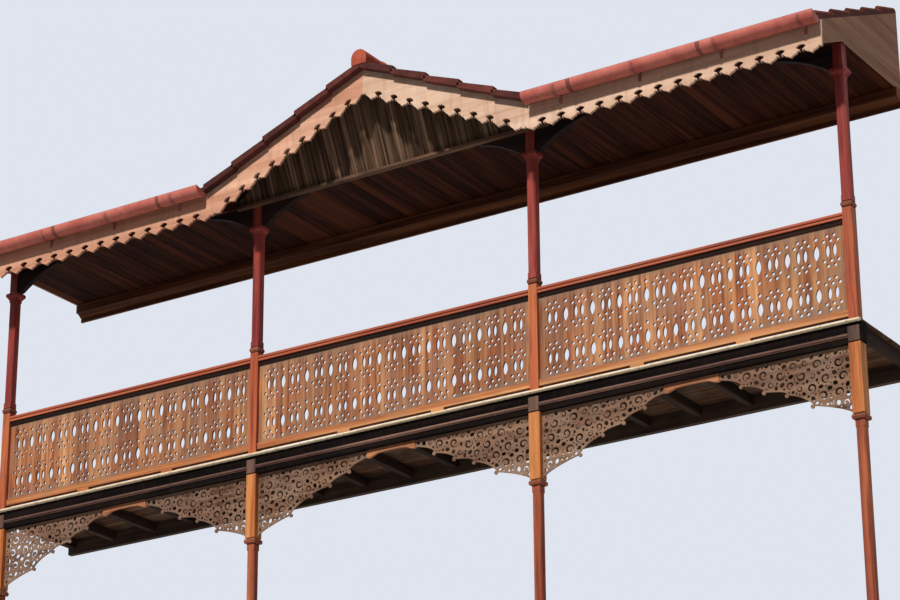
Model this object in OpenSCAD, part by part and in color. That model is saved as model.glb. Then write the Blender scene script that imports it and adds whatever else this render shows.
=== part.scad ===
// Timber gallery of three bays with a pierced-board screen balustrade, fretwork
// spandrels and a tiled roof with a front gable.
// The origin lies on the wall face at floor level, in the middle of the middle bay.
// X runs along the wall, the street side is -Y and Z is up.

/* [Bays and levels] */
// Distance between post centres
bay_w = 3300; // [3000:10:3600]
// Wall face to post centres
post_out = 1200; // [1000:10:1400]
// Floor top down to the ground under the lower posts
ground_drop = 3600; // [3000:10:4200]
// Floor top up to the soffit
head_h = 2720; // [2500:10:3000]
// Timber that runs on past the centre of an end post
end_over = 75; // [70:1:120]

/* [Posts] */
// Side of the square upper posts
upper_w = 96; // [80:1:110]
// Side of the shaft of the lower posts
shaft_w = 88; // [70:1:105]
// Side of the thick head of the lower posts
lower_w = 118; // [108:1:140]
// Height of the thick head below the floor beam
lower_head_h = 659; // [655:1:760]
// Side of the collars on the posts
collar_w = 132; // [125:1:160]
// Height of the upper post collar
upper_collar_h = 83; // [60:1:110]
// Height of the lower post collar
lower_collar_h = 60; // [40:1:90]
// Gap between handrail top and upper collar
collar_lift = 37; // [20:1:60]
// Width of the stopped chamfers on the shafts
chamfer = 14; // [6:1:20]
// Side of the capital under the top brackets
capital_w = 150; // [130:1:190]
// Height of the capital
capital_h = 42; // [30:1:60]

/* [Floor] */
// Thickness of the floor boards
board_t = 24; // [20:1:32]
// Height of the floor beam
beam_h = 187; // [160:1:220]
// Thickness of the floor beam
beam_w = 100; // [80:1:116]
// How far the nosing stands out from the beam
nosing_out = 40; // [25:1:60]
// Width of a joist
joist_w = 70; // [50:1:90]
// Height of a joist
joist_h = 100; // [80:1:150]
// Joists in each bay
joists_per_bay = 6; // [4:2:8]
// Thickness of the ledgers on the wall
ledger_t = 60; // [45:1:80]
// Wall ledger below the floor top
ledger_down = 184; // [160:1:220]
// Wall ledger above the floor top, as a skirting
ledger_up = 60; // [40:1:90]
// Height of the moulding on the floor beam
moulding_h = 30; // [20:1:40]
// How far the moulding stands out
moulding_out = 22; // [12:1:30]
// Top of the moulding below the beam top
moulding_drop = 104; // [80:1:120]
// Width of the pads in front of the beam
pad_w = 112; // [90:1:140]
// Height of the pads
pad_h = 140; // [120:1:150]
// Thickness of the pads
pad_t = 14; // [10:1:20]
// Top of the pads below the floor top
pad_drop = 60; // [50:1:65]

/* [Balustrade] */
// Floor top to handrail top
rail_h = 1050; // [950:10:1150]
// Height of the handrail
handrail_h = 64; // [50:1:80]
// Width of the handrail
handrail_w = 94; // [80:1:110]
// Height of the dark rail under the handrail
top_rail_h = 42; // [30:1:60]
// Width of the dark rail
top_rail_w = 50; // [40:1:70]
// Height of the bottom rail
bottom_rail_h = 62; // [50:1:80]
// Width of the bottom rail
bottom_rail_w = 60; // [50:1:75]
// Height of the drain slots under the bottom rail
slot_h = 50; // [35:1:70]
// Length of the blocks between the drain slots
block_len = 145; // [100:1:200]
// Thickness of the pierced boards
panel_t = 25; // [20:1:32]
// Pierced boards in one bay
boards_per_bay = 11; // [9:1:12]
// Width of the large lens cut where two boards meet
lens_w = 58; // [45:1:66]
// Width of the slim lenses inside a board
slim_w = 30; // [22:1:36]
// Width of the drilled dots
dot_d = 25; // [18:1:28]
// Width of the groove where two boards meet
groove_w = 5; // [3:1:8]

/* [Fretwork] */
// Height of a spandrel beside the post
fret_h = 646; // [560:1:654]
// Thickness of the fretwork boards
fret_t = 30; // [22:1:40]
// Length of the plain crown board in mid-bay
crown_len = 560; // [400:10:700]
// Height of the crown board in the middle
crown_h = 40; // [30:1:60]
// Width of the ribbon along the lower edge
border_w = 26; // [20:1:32]
// Distance between the petals sawn round a scroll
petal_step = 42; // [36:1:50]

/* [Top brackets] */
// Reach of a top bracket along the eaves
bracket_len = 560; // [400:10:700]
// Height of a top bracket beside the post
bracket_h = 250; // [200:1:300]
// Thickness of a top bracket
bracket_t = 60; // [45:1:80]

/* [Roof] */
// Roof pitch in degrees
pitch = 25; // [22:0.5:28]
// Post centres to the front of the eaves boards
eave_out = 520; // [440:10:600]
// Tile underside at the eaves above the soffit
eave_lift = 25; // [10:1:40]
// Width of the gable at eaves level
gable_w = 3840; // [3700:10:4000]
// Eaves cheeks inwards from the edge of the gable
cheek_in = 40; // [30:1:60]
// Thickness of soffit and lining boards
lining_t = 18; // [15:1:25]
// Thickness of the eaves boards
fascia_t = 28; // [22:1:36]
// Height of the eaves boards down to the scallop tips
fascia_h = 305; // [260:1:340]
// Height of the scallops
scallop_h = 42; // [30:1:55]
// Width of one scallop
scallop_w = 190; // [160:1:220]
// Depth of the cove along the top of the wall
cove_d = 110; // [80:1:150]
// Height of the cove
cove_h = 180; // [140:1:220]
// Upright depth of a rafter
rafter_h = 97; // [80:1:120]
// Width of a rafter
rafter_w = 50; // [40:1:70]
// Height of the ledger that carries the rafters on the wall
roof_ledger_h = 120; // [90:1:150]
// Tile overhang past the eaves boards
tile_over = 40; // [25:1:60]
// Thickness of a tile course at its upper edge
tile_thin = 25; // [18:1:35]
// Thickness of a tile course at its lower edge
tile_thick = 60; // [45:1:75]
// Tile courses from eaves to ridge
courses = 5; // [4:1:8]
// Radius of the ridge tiles
ridge_r = 90; // [75:1:110]
// Height of the ridge tile bed above the tiles
ridge_bed = 60; // [40:1:80]
// Ridge tiles in a row
ridge_count = 5; // [3:1:7]
// Outer radius of the gutter
gutter_r = 80; // [65:1:90]
// Thickness of the gutter
gutter_t = 4; // [3:0.5:6]
// Gap between the eaves boards and the gutter
gutter_gap = 15; // [10:1:25]
// Centre of the gutter above the tile underside at the eaves
gutter_rise = 12; // [5:1:20]
// Thickness of the gutter brackets
strap_t = 6; // [4:1:8]
// Width of the gutter brackets
strap_w = 30; // [20:1:40]

/* [Hidden] */

$fn = 48;
bays = 3;
far = 20000;
slope = tan(pitch);
post_x = [for (i = [0 : bays]) (i - bays / 2) * bay_w];
end_x = bays * bay_w / 2 + end_over;
beam_z = -board_t - beam_h;
beam_front = -post_out - beam_w / 2;
beam_back = beam_front + beam_w;
capital_z = head_h - bracket_h - capital_h;
clear_w = bay_w - upper_w;
panel_z = slot_h + bottom_rail_h;
panel_h = rail_h - handrail_h - top_rail_h - panel_z;
board_pitch = clear_w / boards_per_bay;
fret_len = (bay_w - lower_w - crown_len) / 2;
crown_drop = fret_h * 0.12;
fascia_front = -post_out - eave_out;
fascia_back = fascia_front + fascia_t;
eave_z = head_h + eave_lift;
apex_z = eave_z + slope * gable_w / 2;
lining_rise = lining_t / cos(pitch);
tympanum_foot = beam_front - 1.2 * lining_t;
tympanum_lean = atan2(tympanum_foot - fascia_back, apex_z - head_h);
cheek_x = gable_w / 2 - cheek_in;
gutter_y = fascia_front - gutter_r - gutter_gap;
gutter_z = eave_z + gutter_rise;

function roof_z(y) = eave_z + slope * (y - fascia_front);
function gable_z(x) = apex_z - slope * abs(x);
function valley_x(y) = gable_w / 2 - (y - fascia_front);

// Draws a profile given in Y and Z, and runs it along X.
module along_x(x0, x1)
    translate([x0, 0, 0])
        rotate([90, 0, 90])
            linear_extrude(x1 - x0)
                children();

// Draws a profile given in X and Z, and runs it along Y.
module along_y(y0, y1)
    translate([0, y1, 0])
        rotate([90, 0, 0])
            linear_extrude(y1 - y0)
                children();

module block(x, y, z)
    translate([x[0], y[0], z[0]])
        cube([x[1] - x[0], y[1] - y[0], z[1] - z[0]]);

module both_sides()
    for (side = [0, 1])
        mirror([side, 0, 0])
            children();

// Square post piece, centred on the post line.
module square_piece(w, z0, z1)
    translate([-w / 2, -w / 2, z0])
        cube([w, w, z1 - z0]);

// Square shaft with its four edges planed off between square ends.
module chamfered_piece(w, z0, z1, square_end) {
    square_piece(w, z0, z0 + square_end);
    square_piece(w, z1 - square_end, z1);
    h = w / 2;
    k = h - chamfer;
    translate([0, 0, z0])
        linear_extrude(z1 - z0)
            polygon([[h, -k], [h, k], [k, h], [-k, h], [-h, k], [-h, -k], [-k, -h], [k, -h]]);
}

module lower_posts() {
    head_z = beam_z - lower_head_h;
    color("saddlebrown")
        for (x = post_x)
            translate([x, -post_out, 0]) {
                square_piece(lower_w, head_z, beam_z);
                square_piece(collar_w, head_z - lower_collar_h, head_z);
                chamfered_piece(shaft_w, -ground_drop, head_z - lower_collar_h, 60);
            }
}

module upper_posts() {
    collar_z = rail_h + collar_lift;
    color("sienna")
        for (x = post_x)
            translate([x, -post_out, 0]) {
                square_piece(upper_w, 0, collar_z);
                square_piece(collar_w, collar_z, collar_z + upper_collar_h);
                chamfered_piece(upper_w, collar_z + upper_collar_h, capital_z, 40);
                square_piece(capital_w, capital_z, capital_z + capital_h);
                square_piece(upper_w, capital_z + capital_h, head_h);
            }
}

module wall_ledger()
    color("dimgray")
        block([-end_x, end_x], [-ledger_t, 0], [-ledger_down, ledger_up]);

module floor_beam()
    color("#1f1b1d")
        block([-end_x, end_x], [beam_front, beam_back], [beam_z, -board_t]);

module beam_pads()
    color("#5d4a40")
        for (x = post_x)
            block([x - pad_w / 2, x + pad_w / 2], [beam_front - pad_t, beam_front],
                [-pad_drop - pad_h, -pad_drop]);

// Cove and bead moulding that runs between the pads.
module beam_moulding()
    color("#6a5750")
        for (i = [0 : bays - 1])
            along_x(post_x[i] + pad_w / 2, post_x[i + 1] - pad_w / 2)
                translate([beam_front, -board_t - moulding_drop - moulding_h])
                    moulding_profile();

module moulding_profile()
    difference() {
        translate([-moulding_out, 0])
            square([moulding_out, moulding_h]);
        translate([-moulding_out, 0])
            circle(r = moulding_out * 0.6);
    }

module floor_joists()
    color("saddlebrown")
        for (i = [0 : bays * joists_per_bay]) {
            first = -bays * bay_w / 2;
            x = first + i * bay_w / joists_per_bay;
            block([x - joist_w / 2, x + joist_w / 2], [beam_back, -ledger_t],
                [-board_t - joist_h, -board_t]);
        }

module floor_boards()
    color("peru")
        block([-end_x, end_x], [beam_front, -ledger_t], [-board_t, 0]);

// Nosing with a rounded front edge, planted on the ends of the floor boards.
module floor_nosing()
    color("antiquewhite")
        along_x(-end_x, end_x)
            translate([beam_front - nosing_out + board_t / 2, -board_t / 2]) {
                circle(d = board_t);
                translate([0, -board_t / 2])
                    square([nosing_out - board_t / 2, board_t]);
            }

module rail_blocks()
    color("peru")
        for (i = [0 : bays - 1])
            for (side = [-1, 1]) {
                x = post_x[i] + bay_w / 2 + side * bay_w / 6;
                block([x - block_len / 2, x + block_len / 2],
                    [-post_out - bottom_rail_w / 2, -post_out + bottom_rail_w / 2],
                    [0, slot_h]);
            }

// One rail in each bay, between the faces of the posts.
module bay_rails(w, z0, z1)
    for (i = [0 : bays - 1])
        block([post_x[i] + upper_w / 2, post_x[i + 1] - upper_w / 2],
            [-post_out - w / 2, -post_out + w / 2],
            [z0, z1]);

module bottom_rails()
    color("peru")
        bay_rails(bottom_rail_w, slot_h, panel_z);

module top_rails()
    color("#2a1712")
        bay_rails(top_rail_w, panel_z + panel_h, rail_h - handrail_h);

// Handrail with rounded upper edges.
module handrails()
    color("#9b4531")
        for (i = [0 : bays - 1])
            along_x(post_x[i] + upper_w / 2, post_x[i + 1] - upper_w / 2)
                translate([-post_out, rail_h - handrail_h])
                    handrail_profile();

module handrail_profile() {
    round_r = 14;
    translate([-handrail_w / 2, 0])
        square([handrail_w, handrail_h - round_r]);
    translate([-handrail_w / 2 + round_r, 0])
        square([handrail_w - 2 * round_r, handrail_h]);
    for (side = [-1, 1])
        translate([side * (handrail_w / 2 - round_r), handrail_h - round_r])
            circle(r = round_r);
}

// Upright lens between two arcs, with its middle at the origin.
module lens(w, h) {
    r = (h * h / 4 + w * w / 4) / w;
    intersection() {
        translate([w / 2 - r, 0])
            circle(r = r, $fn = 96);
        translate([r - w / 2, 0])
            circle(r = r, $fn = 96);
    }
}

// Cuts a profile given in X and Z through a pierced panel.
module pierce()
    along_y(-post_out - panel_t, -post_out + panel_t)
        children();

// Heights in a panel, as shares of its height from the bottom.
large_lens_mid = [0.242, 0.765];
large_lens_h = [0.165, 0.18];
edge_dots = [0.06, 0.43, 0.58, 0.935];

// Lens and dots cut where two boards meet.
module seam_cuts() {
    for (k = [0, 1])
        translate([0, large_lens_mid[k] * panel_h])
            lens(lens_w, large_lens_h[k] * panel_h);
    for (share = edge_dots)
        translate([0, share * panel_h])
            lens(dot_d * 0.9, dot_d * 1.15);
}

// Two slim lenses inside a board, in two tiers, with five dots above and below each pair.
module board_cuts() {
    step = board_pitch * 0.2;
    for (k = [0, 1])
        translate([0, large_lens_mid[k] * panel_h]) {
            for (side = [-1, 1])
                translate([side * step, 0])
                    lens(slim_w, (large_lens_h[k] - 0.015) * panel_h);
            for (up = [-1, 1]) {
                for (side = [-1, 0, 1])
                    translate([side * 2 * step * 0.85, up * 0.117 * panel_h])
                        lens(dot_d * 0.84, dot_d * 1.06);
                for (side = [-1, 1])
                    translate([side * step * 0.85, up * 0.16 * panel_h])
                        lens(dot_d * 0.84, dot_d * 1.06);
            }
        }
}

// Screen of pierced boards in one bay, grooved where the boards meet.
module pierced_panel(i) {
    left = post_x[i] + upper_w / 2;
    color("#b87a4b")
        difference() {
            block([left, left + clear_w], [-post_out - panel_t / 2, -post_out + panel_t / 2],
                [panel_z, panel_z + panel_h]);
            for (k = [1 : boards_per_bay - 1])
                translate([left + k * board_pitch, 0, panel_z]) {
                    pierce()
                        seam_cuts();
                    for (face = [-1, 1])
                        translate([-groove_w / 2, -post_out + face * panel_t / 2 - 3, -1])
                            cube([groove_w, 6, panel_h + 2]);
                }
            for (k = [0 : boards_per_bay - 1])
                translate([left + (k + 0.5) * board_pitch, 0, panel_z])
                    pierce()
                        board_cuts();
        }
}

// Points along a curve with two pull points.
function bend(p, n) = [
    for (k = [0 : n])
        let (t = k / n, s = 1 - t)
        s * s * s * p[0] + 3 * s * s * t * p[1] + 3 * s * t * t * p[2] + t * t * t * p[3]
];

function unit(v) = v / norm(v);

// Left-hand normal of a path at one of its points.
function side_of(p, k) =
    let (d = unit(p[min(k + 1, len(p) - 1)] - p[max(k - 1, 0)]))
    [-d[1], d[0]];

// Band along a path, whose width runs from w0 to w1.
module band(p, w0, w1) {
    n = len(p) - 1;
    half = [for (k = [0 : n]) (w0 + (w1 - w0) * k / n) / 2];
    polygon(concat(
        [for (k = [0 : n]) p[k] + half[k] * side_of(p, k)],
        [for (k = [n : -1 : 0]) p[k] - half[k] * side_of(p, k)]
    ));
}

// Tips of the lower edge: share of the length from the post, share of the height.
fret_tips = [[0, 1], [0.294, 0.766], [0.481, 0.537], [0.652, 0.424], [0.824, 0.266], [0.985, 0.11]];

// Scrolls of a spandrel: place as shares of length and height, radius share, start, hand.
fret_scrolls = [
    [0.182, 0.215, 0.145, 200, 1],
    [0.172, 0.560, 0.150, 20, -1],
    [0.062, 0.370, 0.088, 90, 1],
    [0.056, 0.780, 0.078, 270, -1],
    [0.338, 0.285, 0.165, 330, 1],
    [0.302, 0.575, 0.088, 150, 1],
    [0.500, 0.225, 0.130, 120, -1],
    [0.628, 0.200, 0.102, 300, 1],
    [0.742, 0.155, 0.080, 60, -1],
    [0.838, 0.130, 0.058, 240, 1],
    [0.915, 0.085, 0.040, 120, -1],
];

// Sawn leaves between the scrolls: place, angle, length and width as shares of the height.
fret_leaves = [
    [0.060, 0.085, -35, 0.120, 0.042], [0.052, 0.085, 215, 0.085, 0.036],
    [0.105, 0.240, 100, 0.090, 0.034], [0.255, 0.075, 30, 0.090, 0.034],
    [0.028, 0.180, -80, 0.100, 0.036], [0.100, 0.690, 60, 0.100, 0.036],
    [0.225, 0.765, 150, 0.120, 0.042], [0.026, 0.600, 80, 0.100, 0.036],
    [0.420, 0.095, 25, 0.090, 0.034], [0.430, 0.470, 70, 0.100, 0.038],
    [0.590, 0.360, 80, 0.080, 0.032], [0.565, 0.075, 10, 0.090, 0.032],
    [0.685, 0.070, 10, 0.080, 0.030], [0.790, 0.060, 10, 0.070, 0.026],
    [0.030, 0.900, 80, 0.080, 0.034],
];

function fret_point(k) = [fret_tips[k][0] * fret_len, -fret_tips[k][1] * fret_h];

// One sweep of the lower edge, from a hook up and out to the next one.
function fret_edge(k) =
    let (a = fret_point(k), b = fret_point(k + 1))
    bend([a, a + [0.02 * fret_len, 0.085 * fret_h], b - [0.075 * fret_len, 0.03 * fret_h], b], 7);

fret_edges = [for (k = [0 : len(fret_tips) - 2]) each fret_edge(k)];

// True where a point lies in the board and clear of its margins.
function in_board(p) =
    p[0] > border_w * 0.8 && p[0] < fret_len - border_w && p[1] < -border_w * 0.7
    && p[1] > lookup(p[0], fret_edges) + border_w;

// Solid outline of a spandrel, from the post at the origin along +X.
module fret_field()
    polygon(concat([[0, 0]], fret_edges, [[fret_len, -crown_drop], [fret_len, 0]]));

// Leaf between two arcs from its root at p, left out where it would leave the board.
module leaf(p, angle, length, w)
    if (in_board(p) && in_board(p + length * [cos(angle), sin(angle)]))
        translate(p)
            rotate(angle - 90)
                translate([0, length / 2])
                    lens(w, length);

// Half of a ring of width w, on the side that the angle points a quarter turn past.
// Its ends lap a little past the half, so that the next turn starts inside this one.
module half_ring(r, w, angle)
    rotate(angle)
        intersection() {
            difference() {
                circle(r = r + w / 2);
                circle(r = r - w / 2);
            }
            translate([-2 * r, -turn_lap])
                square([4 * r, 2 * r]);
        }

// Overlap of one half turn of a scroll with the next.
turn_lap = 0.6;

// Centre of the half turns of a scroll, each one smaller than the last by a step.
function turn_centre(k, step) = [k % 2 == 0 ? 0 : -step, 0];

// Winding gap inside a scroll, with slanting leaves sawn round it.
module scroll_cuts(c, r, start, hand) {
    step = r * 0.19;
    for (k = [0 : 2])
        saw()
            translate(c)
                rotate(start)
                    mirror([0, hand < 0 ? 1 : 0])
                        translate(turn_centre(k, step))
                            half_ring(r * 0.78 - k * step, r * (0.21 - 0.02 * k), 180 * k);
    count = round(2 * PI * r * 1.2 / petal_step);
    for (k = [0 : count - 1]) {
        angle = start + 360 * k / count;
        saw()
            leaf(c + r * 1.06 * [cos(angle), sin(angle)], angle + hand * 52,
                petal_step * 0.62 + r * 0.28, petal_step * 0.42);
    }
}

// Slit between the ribbon along the lower edge and the filling, inside one sweep.
module edge_slit(k) {
    edge = fret_edge(k);
    lift = border_w * 1.3;
    band([for (j = [2 : 5]) edge[j] + lift * side_of(edge, j)], border_w * 0.35, border_w * 0.55);
}

// Runs a saw cut right through the board.
module saw()
    translate([0, 0, -1])
        linear_extrude(fret_t + 2)
            children();

// Spandrel sawn from one board, drawn from the post outwards and down from its head.
module fret_board() {
    difference() {
        linear_extrude(fret_t)
            fret_field();
        for (s = fret_scrolls)
            scroll_cuts([s[0] * fret_len, -s[1] * fret_h], s[2] * fret_h, s[3], s[4]);
        for (f = fret_leaves)
            saw()
                leaf([f[0] * fret_len, -f[1] * fret_h], f[2], f[3] * fret_h, f[4] * fret_h);
        for (k = [0 : len(fret_tips) - 3])
            saw()
                edge_slit(k);
    }
    for (k = [1 : len(fret_tips) - 2])
        linear_extrude(fret_t)
            translate(fret_point(k) + [0.012, -0.002] * fret_len)
                circle(r = border_w * 0.8);
}

// Spandrel to the right of post i, or to its left when mirrored.
module spandrel(i, side)
    color("#8f6f5f")
        translate([post_x[i] + side * lower_w / 2, -post_out + fret_t / 2, beam_z])
            mirror([side < 0 ? 1 : 0, 0, 0])
                rotate([90, 0, 0])
                    fret_board();

// Plain board with an ogee at each end, between two spandrels.
module crown_boards()
    color("#a5674c")
        for (i = [0 : bays - 1])
            translate([post_x[i] + bay_w / 2, 0, beam_z])
                along_y(-post_out - fret_t / 2, -post_out + fret_t / 2)
                    crown_profile();

module crown_profile() {
    end = crown_len / 2;
    polygon([
        [-end, 0], [end, 0], [end, -crown_drop], [end * 0.9, -crown_drop], [end * 0.78, -crown_drop * 0.86],
        [end * 0.6, -crown_h * 1.15], [end * 0.3, -crown_h], [-end * 0.3, -crown_h],
        [-end * 0.6, -crown_h * 1.15], [-end * 0.78, -crown_drop * 0.86], [-end * 0.9, -crown_drop], [-end, -crown_drop],
    ]);
}

// Curved arm that runs from a post to a point under the soffit.
module bracket_arm()
    along_y(-bracket_t / 2, bracket_t / 2)
        polygon(concat(
            [[bracket_len, 0], [0, 0], [0, -bracket_h]],
            [for (k = [0 : 8])
                let (t = k / 8)
                [40 + (bracket_len - 40) * t, -bracket_h * (1 - t) * (1 - 0.55 * t) - 14 * t]]
        ));

module top_brackets()
    color("#2d1a14")
        for (i = [0 : bays])
            for (side = [-1, 1])
                if (post_x[i] * side < post_x[bays] - 1)
                    translate([post_x[i] + side * upper_w / 2, -post_out, head_h])
                        mirror([side < 0 ? 1 : 0, 0, 0])
                            bracket_arm();

module soffit()
    color("#4d2419")
        block([-end_x + lining_t, end_x - lining_t], [beam_front, 0], [head_h, head_h + lining_t]);

// Hollow moulding in the corner between wall and soffit.
module wall_cove()
    color("#6f4638")
        along_x(-end_x, end_x)
            translate([0, head_h])
                difference() {
                    translate([-cove_d, -cove_h])
                        square([cove_d, cove_h]);
                    translate([-cove_d, -cove_h])
                        circle(r = cove_d - 22);
                    translate([-cove_d - 1, -cove_h + cove_d - 60])
                        mirror([0, 1])
                            square([cove_d - 21, cove_h]);
                }

eaves_beam_z = roof_z(beam_front) - rafter_h;

module eaves_beam()
    color("saddlebrown")
        block([-end_x + lining_t, end_x - lining_t], [beam_front, beam_back],
            [head_h + lining_t, eaves_beam_z]);

// Underside of the sloping eaves lining.
function lining_z(y) = head_h + slope * (y - beam_front);

module eave_soffits()
    color("#4d2419")
        both_sides()
            along_x(cheek_x + lining_t, end_x - lining_t)
                polygon([
                    [beam_front, lining_z(beam_front)],
                    [fascia_back, lining_z(fascia_back)],
                    [fascia_back, lining_z(fascia_back) + lining_rise],
                    [beam_front, lining_z(beam_front) + lining_rise],
                ]);

module eave_cheeks()
    color("#5b2d20")
        both_sides()
            along_x(cheek_x, cheek_x + lining_t)
                polygon([
                    [beam_front, lining_z(beam_front)],
                    [fascia_back, lining_z(fascia_back)],
                    [fascia_back, roof_z(fascia_back)],
                    [beam_front, roof_z(beam_front)],
                ]);

// Everything below the tiles, seen along Y, for the gable and for the roofs beside it.
module under_roofs() {
    along_y(-far, 0)
        polygon([[-cheek_x, head_h], [cheek_x, head_h], [cheek_x, gable_z(cheek_x)], [0, apex_z],
            [-cheek_x, gable_z(cheek_x)]]);
    along_x(-cheek_x, cheek_x)
        polygon([[fascia_front, head_h], [0, head_h], [0, roof_z(0)], [fascia_front, roof_z(fascia_front)]]);
}

// Boarded gable that leans out from the post line to the bargeboards.
module tympanum()
    color("#6b3a28")
        intersection() {
            translate([0, tympanum_foot, head_h])
                rotate([tympanum_lean, 0, 0])
                    translate([-cheek_x, 0, -200])
                        cube([2 * cheek_x, lining_t, far]);
            under_roofs();
        }

module tympanum_ledge()
    color("#c98d63")
        block([-cheek_x, cheek_x], [beam_front - 60, beam_front], [head_h - 30, head_h]);

roof_ledger_z = roof_z(-ledger_t) - rafter_h;

module roof_ledger()
    color("saddlebrown")
        block([-end_x + lining_t, end_x - lining_t], [-ledger_t, 0],
            [roof_ledger_z - roof_ledger_h, roof_ledger_z]);

// Band under the tiles of the roofs beside the gable.
module rafter_band()
    polygon([
        [fascia_back, roof_z(fascia_back)], [fascia_back, roof_z(fascia_back) - rafter_h],
        [0, roof_z(0) - rafter_h], [0, roof_z(0)],
    ]);

valley_clear = rafter_w / sqrt(2);

// Rafters of the roofs beside the gable, the short ones cut at the valleys.
module rafters()
    color("saddlebrown")
        both_sides()
            for (k = [0 : 6]) {
                x = end_x - 300 - k * 550;
                intersection() {
                    along_x(x - rafter_w / 2, x + rafter_w / 2)
                        rafter_band();
                    linear_extrude(far)
                        polygon([
                            [valley_x(fascia_front) + valley_clear, fascia_front],
                            [end_x, fascia_front], [end_x, 0],
                            [valley_x(0) + valley_clear, 0],
                        ]);
                }
            }

// Ridge board of the gable, with a rafter under each valley.
module ridge_and_valleys()
    color("saddlebrown") {
        ridge_t = 36;
        ridge_h = 160;
        top = gable_z(ridge_t / 2);
        block([-ridge_t / 2, ridge_t / 2], [fascia_back + 40, 0], [top - ridge_h, top]);
        both_sides()
            intersection() {
                translate([valley_x(beam_front), beam_front, 0])
                    rotate([90, 0, 135])
                        translate([0, 0, -rafter_w / 2])
                            linear_extrude(rafter_w)
                                valley_band();
                block([ridge_t / 2, far], [beam_front, 0], [0, far]);
            }
    }

module valley_band() {
    run = -beam_front * sqrt(2);
    low = roof_z(beam_front);
    high = roof_z(0);
    polygon([[-100, low - 100 * slope / sqrt(2)], [run, high], [run, high - rafter_h],
        [-100, low - 100 * slope / sqrt(2) - rafter_h]]);
}

// Board that closes each end of the roof.
module end_boards()
    color("#8a5a45")
        both_sides()
            along_x(end_x - lining_t, end_x)
                polygon([
                    [0, head_h], [beam_front, head_h], [fascia_back, lining_z(fascia_back)],
                    [fascia_back, roof_z(fascia_back)], [0, roof_z(0)],
                ]);

// Points of a scalloped lower edge, n scallops of width w, tips at zero.
function scallops(x0, w, n) = [
    for (k = [0 : n - 1])
        for (j = [0 : 7])
            let (t = j / 8)
            [x0 + (k + t) * w, scallop_h * pow(abs(2 * t - 1), 0.7)]
];

// Round hole with a slit above it.
module keyhole() {
    circle(d = 26, $fn = 6);
    translate([-4, 0])
        square([8, 52]);
}

// Keyholes above the scallop tips, alternately low and high.
module keyholes(x0, w, n)
    for (k = [0 : n - 1])
        translate([x0 + (k + 0.5) * w, 95 + 35 * (k % 2)])
            keyhole();

mitre_low = gable_w / 2 - 54;
mitre_high = gable_w / 2 + 12;

// Eaves board of the roof beside the gable.
module fascia(side) {
    low = eave_z - fascia_h;
    span = end_x - mitre_low;
    n = floor(span / scallop_w);
    w = span / n;
    color("#cf9c82")
        mirror([side < 0 ? 1 : 0, 0, 0])
            along_y(fascia_front, fascia_back)
                difference() {
                    polygon(concat(
                        [for (p = scallops(mitre_low, w, n)) [p[0], low + p[1]]],
                        [[end_x, low + scallop_h], [end_x, eave_z], [mitre_high, eave_z]]
                    ));
                    translate([0, low])
                        keyholes(mitre_low, w, n);
                }
}

// Bargeboard along one slope of the gable, from the apex to the mitre.
module bargeboard(side) {
    barge_h = fascia_h / cos(pitch) * 0.98;
    low = apex_z - barge_h;
    run = mitre_low;
    n = round(run / (scallop_w * cos(pitch)));
    w = run / n;
    color("#cf9c82")
        mirror([side < 0 ? 1 : 0, 0, 0])
            along_y(fascia_front, fascia_back)
                difference() {
                    polygon(concat(
                        [[0, apex_z]],
                        [for (p = scallops(0, w, n)) [p[0], low - slope * p[0] + p[1]]],
                        [[mitre_low, eave_z - fascia_h + scallop_h], [mitre_high, gable_z(mitre_high)]]
                    ));
                    for (k = [0 : n - 1])
                        translate([(k + 0.5) * w, low - slope * (k + 0.5) * w + 95 + 35 * (k % 2)])
                            keyhole();
                }
}

// Saw-tooth section of overlapping tile courses that climb from x = 0.
module course_section(run, n) {
    w = run / n;
    polygon(concat(
        [for (k = [0 : n - 1])
            each [[k * w, slope * k * w + tile_thick], [(k + 1) * w, slope * (k + 1) * w + tile_thin]]],
        [[run, slope * run], [0, 0]]
    ));
}

tile_front = fascia_front - tile_over;

// Tiled roof beside the gable, cut upright along the valley.
module lean_roof(side)
    color("#7d3b2c")
        mirror([side < 0 ? 1 : 0, 0, 0])
            intersection() {
                along_x(0, end_x)
                    translate([tile_front, roof_z(tile_front)])
                        course_section(-tile_front, courses);
                linear_extrude(far)
                    polygon([[valley_x(tile_front), tile_front], [end_x, tile_front], [end_x, 0],
                        [valley_x(0), 0]]);
            }

// Tiled slope of the gable, cut upright along the valley and at the ridge.
module gable_slope(side)
    color("#7d3b2c")
        mirror([side < 0 ? 1 : 0, 0, 0])
            intersection() {
                along_y(tile_front, 0)
                    translate([valley_x(tile_front), gable_z(valley_x(tile_front))])
                        mirror([1, 0])
                            course_section(valley_x(tile_front), courses);
                linear_extrude(far)
                    polygon([[valley_x(tile_front), tile_front], [valley_x(0), 0], [0, 0], [0, tile_front]]);
            }

// Half-round ridge tiles on their bed, each one lapping the next.
module ridge_tiles()
    color("#b5503a") {
        length = -tile_front / ridge_count;
        tile_slope = (tile_thick - tile_thin) / (valley_x(tile_front) / courses) - slope;
        for (k = [0 : ridge_count - 1])
            along_y(tile_front + k * length, tile_front + (k + 1) * length)
                ridge_profile(tile_slope, ridge_r);
        for (k = [1 : ridge_count - 1])
            along_y(tile_front + k * length - 30, tile_front + k * length + 30)
                ridge_profile(tile_slope, ridge_r + 10);
    }

module ridge_profile(tile_slope, r) {
    foot = apex_z + tile_thin;
    intersection() {
        union() {
            translate([0, foot + ridge_bed])
                circle(r = r);
            translate([-r, foot - r])
                square([2 * r, r + ridge_bed]);
        }
        polygon([[0, foot], [2 * r, foot + tile_slope * 2 * r], [2 * r, foot + 4 * r],
            [-2 * r, foot + 4 * r], [-2 * r, foot + tile_slope * 2 * r]]);
    }
}

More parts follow.
